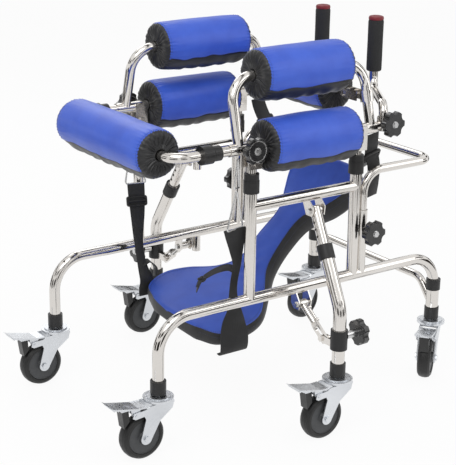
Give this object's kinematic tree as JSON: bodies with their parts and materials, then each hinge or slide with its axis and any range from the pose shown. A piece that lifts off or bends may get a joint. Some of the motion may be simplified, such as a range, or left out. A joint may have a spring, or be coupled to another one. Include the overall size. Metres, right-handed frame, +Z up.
{
  "type": "front wheeled walker",
  "caption": "Wheeled walking frame with roll cushions, hanging padded seat, upright grips, bumper bar, side outriggers and braked swivel casters.",
  "frame": {"origin": "on the floor under the centre of the whole object", "axes": "+X to the walker's front, +Y to the user's left, +Z up"},
  "size_m": [0.933, 0.782, 0.849],
  "materials": {
    "stainless": "polished stainless tube",
    "zinc": "zinc plated pressed steel",
    "black_plastic": "glossy black moulding",
    "collar_plastic": "satin black moulding",
    "tyre_rubber": "solid rubber tyre on a grey plastic hub",
    "blue_cover": "blue coated cloth with black gathered ends",
    "seat_cloth": "blue cloth with a black padded border",
    "webbing": "black polyester webbing",
    "foam": "black closed-cell foam with a dark red end cap",
    "steel_hardware": "bright steel wire and buckles"
  },
  "bodies": {
    "frame": {"side_frame_right": "stainless", "side_frame_left": "stainless", "front_cross_tube": "stainless", "leg_collars": "collar_plastic", "post_collars": "collar_plastic", "hinge_bolts": "steel_hardware"},
    "upper_frame": {"arm_frame_right": "stainless", "arm_frame_left": "stainless", "arch_right": "stainless", "arch_left": "stainless", "arm_cushion_right": "blue_cover", "arm_cushion_left": "blue_cover", "arch_cushion_right": "blue_cover", "arch_cushion_left": "blue_cover", "chest_cushion": "blue_cover", "chest_brackets": "stainless", "seat_sling": "seat_cloth", "sling_straps": "webbing", "sling_hardware": "steel_hardware"},
    "back_rest": {"back_bar": "stainless", "back_cushion": "blue_cover", "back_bar_collars": "collar_plastic"},
    "bumper": {"bumper_bar": "stainless"},
    "handle_right": {"handle_bar_right": "stainless", "handle_grip_right": "foam"},
    "back_knob_right": {"back_knob_right": "black_plastic"},
    "handle_knob_right": {"handle_knob_right": "black_plastic"},
    "bumper_knob_right": {"bumper_knob_right": "black_plastic"},
    "leg_knob_right": {"leg_knob_right": "black_plastic"},
    "outrigger_leg_right": {"outrigger_leg_right": "stainless"},
    "outrigger_brace_right": {"outrigger_brace_right": "stainless"},
    "outrigger_foot_right": {"outrigger_foot_right": "stainless"},
    "handle_left": {"handle_bar_left": "stainless", "handle_grip_left": "foam"},
    "back_knob_left": {"back_knob_left": "black_plastic"},
    "handle_knob_left": {"handle_knob_left": "black_plastic"},
    "bumper_knob_left": {"bumper_knob_left": "black_plastic"},
    "leg_knob_left": {"leg_knob_left": "black_plastic"},
    "outrigger_leg_left": {"outrigger_leg_left": "stainless"},
    "outrigger_brace_left": {"outrigger_brace_left": "stainless"},
    "outrigger_foot_left": {"outrigger_foot_left": "stainless"},
    "caster_rear_right": {"caster_fork_rear_right": "zinc"},
    "wheel_rear_right": {"caster_wheel_rear_right": "tyre_rubber"},
    "pedal_rear_right": {"caster_pedal_rear_right": "zinc"},
    "caster_rear_left": {"caster_fork_rear_left": "zinc"},
    "wheel_rear_left": {"caster_wheel_rear_left": "tyre_rubber"},
    "pedal_rear_left": {"caster_pedal_rear_left": "zinc"},
    "caster_middle_right": {"caster_fork_middle_right": "zinc"},
    "wheel_middle_right": {"caster_wheel_middle_right": "tyre_rubber"},
    "pedal_middle_right": {"caster_pedal_middle_right": "zinc"},
    "caster_middle_left": {"caster_fork_middle_left": "zinc"},
    "wheel_middle_left": {"caster_wheel_middle_left": "tyre_rubber"},
    "pedal_middle_left": {"caster_pedal_middle_left": "zinc"},
    "caster_front_right": {"caster_fork_front_right": "zinc"},
    "wheel_front_right": {"caster_wheel_front_right": "tyre_rubber"},
    "pedal_front_right": {"caster_pedal_front_right": "zinc"},
    "caster_front_left": {"caster_fork_front_left": "zinc"},
    "wheel_front_left": {"caster_wheel_front_left": "tyre_rubber"},
    "pedal_front_left": {"caster_pedal_front_left": "zinc"}
  },
  "joints": [
    {"name": "upper_frame_height", "type": "slide", "parent": "frame", "child": "upper_frame", "axis": [0, 0, 1], "range_m": [0, 0.1]},
    {"name": "back_rest_depth", "type": "slide", "parent": "upper_frame", "child": "back_rest", "axis": [1, 0, 0], "range_m": [-0.06, 0.02]},
    {"name": "bumper_height", "type": "slide", "parent": "frame", "child": "bumper", "axis": [0, 0, 1], "range_m": [0, 0.03]},
    {"name": "handle_turn_right", "type": "hinge", "parent": "upper_frame", "child": "handle_right", "pos_m": [0.246, -0.223, 0.64], "axis": [0, 0, -1], "range_deg": [-10, 60]},
    {"name": "back_knob_turn_right", "type": "hinge", "parent": "upper_frame", "child": "back_knob_right", "pos_m": [-0.122, -0.25, 0.63], "axis": [0, -1, 0], "range_deg": [0, 360]},
    {"name": "handle_knob_turn_right", "type": "hinge", "parent": "upper_frame", "child": "handle_knob_right", "pos_m": [0.246, -0.25, 0.64], "axis": [0, -1, 0], "range_deg": [0, 360]},
    {"name": "bumper_knob_turn_right", "type": "hinge", "parent": "frame", "child": "bumper_knob_right", "pos_m": [0.1981, -0.25, 0.4], "axis": [0, -1, 0], "range_deg": [0, 360]},
    {"name": "outrigger_fold_right", "type": "hinge", "parent": "frame", "child": "outrigger_leg_right", "pos_m": [0.05, -0.24, 0.472], "axis": [1, 0, 0], "range_deg": [0, 8]},
    {"name": "outrigger_brace_turn_right", "type": "hinge", "parent": "frame", "child": "outrigger_brace_right", "pos_m": [0.026, -0.235, 0.261], "axis": [1, 0, 0], "range_deg": [0, 24]},
    {"name": "outrigger_height_right", "type": "slide", "parent": "outrigger_leg_right", "child": "outrigger_foot_right", "axis": [0, 0, -1], "range_m": [0, 0.03]},
    {"name": "leg_knob_turn_right", "type": "hinge", "parent": "outrigger_leg_right", "child": "leg_knob_right", "pos_m": [0.06, -0.358, 0.222], "axis": [1, 0, 0], "range_deg": [0, 360]},
    {"name": "handle_turn_left", "type": "hinge", "parent": "upper_frame", "child": "handle_left", "pos_m": [0.246, 0.223, 0.64], "axis": [0, 0, 1], "range_deg": [-10, 60]},
    {"name": "back_knob_turn_left", "type": "hinge", "parent": "upper_frame", "child": "back_knob_left", "pos_m": [-0.122, 0.25, 0.63], "axis": [0, 1, 0], "range_deg": [0, 360]},
    {"name": "handle_knob_turn_left", "type": "hinge", "parent": "upper_frame", "child": "handle_knob_left", "pos_m": [0.246, 0.25, 0.64], "axis": [0, 1, 0], "range_deg": [0, 360]},
    {"name": "bumper_knob_turn_left", "type": "hinge", "parent": "frame", "child": "bumper_knob_left", "pos_m": [0.1981, 0.25, 0.4], "axis": [0, 1, 0], "range_deg": [0, 360]},
    {"name": "outrigger_fold_left", "type": "hinge", "parent": "frame", "child": "outrigger_leg_left", "pos_m": [0.025, 0.24, 0.472], "axis": [-1, 0, 0], "range_deg": [0, 8]},
    {"name": "outrigger_brace_turn_left", "type": "hinge", "parent": "frame", "child": "outrigger_brace_left", "pos_m": [0.024, 0.235, 0.261], "axis": [-1, 0, 0], "range_deg": [0, 24]},
    {"name": "outrigger_height_left", "type": "slide", "parent": "outrigger_leg_left", "child": "outrigger_foot_left", "axis": [0, 0, -1], "range_m": [0, 0.03]},
    {"name": "leg_knob_turn_left", "type": "hinge", "parent": "outrigger_leg_left", "child": "leg_knob_left", "pos_m": [-0.007, 0.358, 0.222], "axis": [-1, 0, 0], "range_deg": [0, 360]},
    {"name": "caster_swivel_rear_right", "type": "hinge", "parent": "frame", "child": "caster_rear_right", "pos_m": [-0.341, -0.223, 0.13], "axis": [0, 0, 1], "continuous": true},
    {"name": "wheel_spin_rear_right", "type": "hinge", "parent": "caster_rear_right", "child": "wheel_rear_right", "pos_m": [-0.383, -0.223, 0.05], "axis": [0, 1, 0], "continuous": true},
    {"name": "brake_pedal_rear_right", "type": "hinge", "parent": "caster_rear_right", "child": "pedal_rear_right", "pos_m": [-0.407, -0.223, 0.108], "axis": [0, -1, 0], "range_deg": [0, 8], "stiffness_Nm_per_rad": 3, "springref_deg": -2.86},
    {"name": "caster_swivel_rear_left", "type": "hinge", "parent": "frame", "child": "caster_rear_left", "pos_m": [-0.341, 0.223, 0.13], "axis": [0, 0, 1], "continuous": true},
    {"name": "wheel_spin_rear_left", "type": "hinge", "parent": "caster_rear_left", "child": "wheel_rear_left", "pos_m": [-0.383, 0.223, 0.05], "axis": [0, 1, 0], "continuous": true},
    {"name": "brake_pedal_rear_left", "type": "hinge", "parent": "caster_rear_left", "child": "pedal_rear_left", "pos_m": [-0.407, 0.223, 0.108], "axis": [0, -1, 0], "range_deg": [0, 8], "stiffness_Nm_per_rad": 3, "springref_deg": -2.86},
    {"name": "caster_swivel_middle_right", "type": "hinge", "parent": "outrigger_foot_right", "child": "caster_middle_right", "pos_m": [0.03, -0.358, 0.13], "axis": [0, 0, 1], "continuous": true},
    {"name": "wheel_spin_middle_right", "type": "hinge", "parent": "caster_middle_right", "child": "wheel_middle_right", "pos_m": [-0.012, -0.358, 0.05], "axis": [0, 1, 0], "continuous": true},
    {"name": "brake_pedal_middle_right", "type": "hinge", "parent": "caster_middle_right", "child": "pedal_middle_right", "pos_m": [-0.036, -0.358, 0.108], "axis": [0, -1, 0], "range_deg": [0, 8], "stiffness_Nm_per_rad": 3, "springref_deg": -2.86},
    {"name": "caster_swivel_middle_left", "type": "hinge", "parent": "outrigger_foot_left", "child": "caster_middle_left", "pos_m": [0.023, 0.358, 0.13], "axis": [0, 0, 1], "continuous": true},
    {"name": "wheel_spin_middle_left", "type": "hinge", "parent": "caster_middle_left", "child": "wheel_middle_left", "pos_m": [-0.019, 0.358, 0.05], "axis": [0, 1, 0], "continuous": true},
    {"name": "brake_pedal_middle_left", "type": "hinge", "parent": "caster_middle_left", "child": "pedal_middle_left", "pos_m": [-0.043, 0.358, 0.108], "axis": [0, -1, 0], "range_deg": [0, 8], "stiffness_Nm_per_rad": 3, "springref_deg": -2.86},
    {"name": "caster_swivel_front_right", "type": "hinge", "parent": "frame", "child": "caster_front_right", "pos_m": [0.433, -0.223, 0.13], "axis": [0, 0, 1], "continuous": true},
    {"name": "wheel_spin_front_right", "type": "hinge", "parent": "caster_front_right", "child": "wheel_front_right", "pos_m": [0.3999, -0.24886, 0.05], "axis": [-0.6157, 0.788, 0], "continuous": true},
    {"name": "brake_pedal_front_right", "type": "hinge", "parent": "caster_front_right", "child": "pedal_front_right", "pos_m": [0.38099, -0.26363, 0.108], "axis": [0.6157, -0.788, 0], "range_deg": [0, 8], "stiffness_Nm_per_rad": 3, "springref_deg": -2.86},
    {"name": "caster_swivel_front_left", "type": "hinge", "parent": "frame", "child": "caster_front_left", "pos_m": [0.433, 0.223, 0.13], "axis": [0, 0, 1], "continuous": true},
    {"name": "wheel_spin_front_left", "type": "hinge", "parent": "caster_front_left", "child": "wheel_front_left", "pos_m": [0.39164, 0.21571, 0.05], "axis": [-0.1736, 0.9848, 0], "continuous": true},
    {"name": "brake_pedal_front_left", "type": "hinge", "parent": "caster_front_left", "child": "pedal_front_left", "pos_m": [0.368, 0.21154, 0.108], "axis": [0.1736, -0.9848, 0], "range_deg": [0, 8], "stiffness_Nm_per_rad": 3, "springref_deg": -2.86}
  ],
  "couplings": [
    {"joint": "outrigger_brace_turn_right", "follows": "outrigger_fold_right", "ratio": 2.8},
    {"joint": "outrigger_brace_turn_left", "follows": "outrigger_fold_left", "ratio": 2.8}
  ]
}
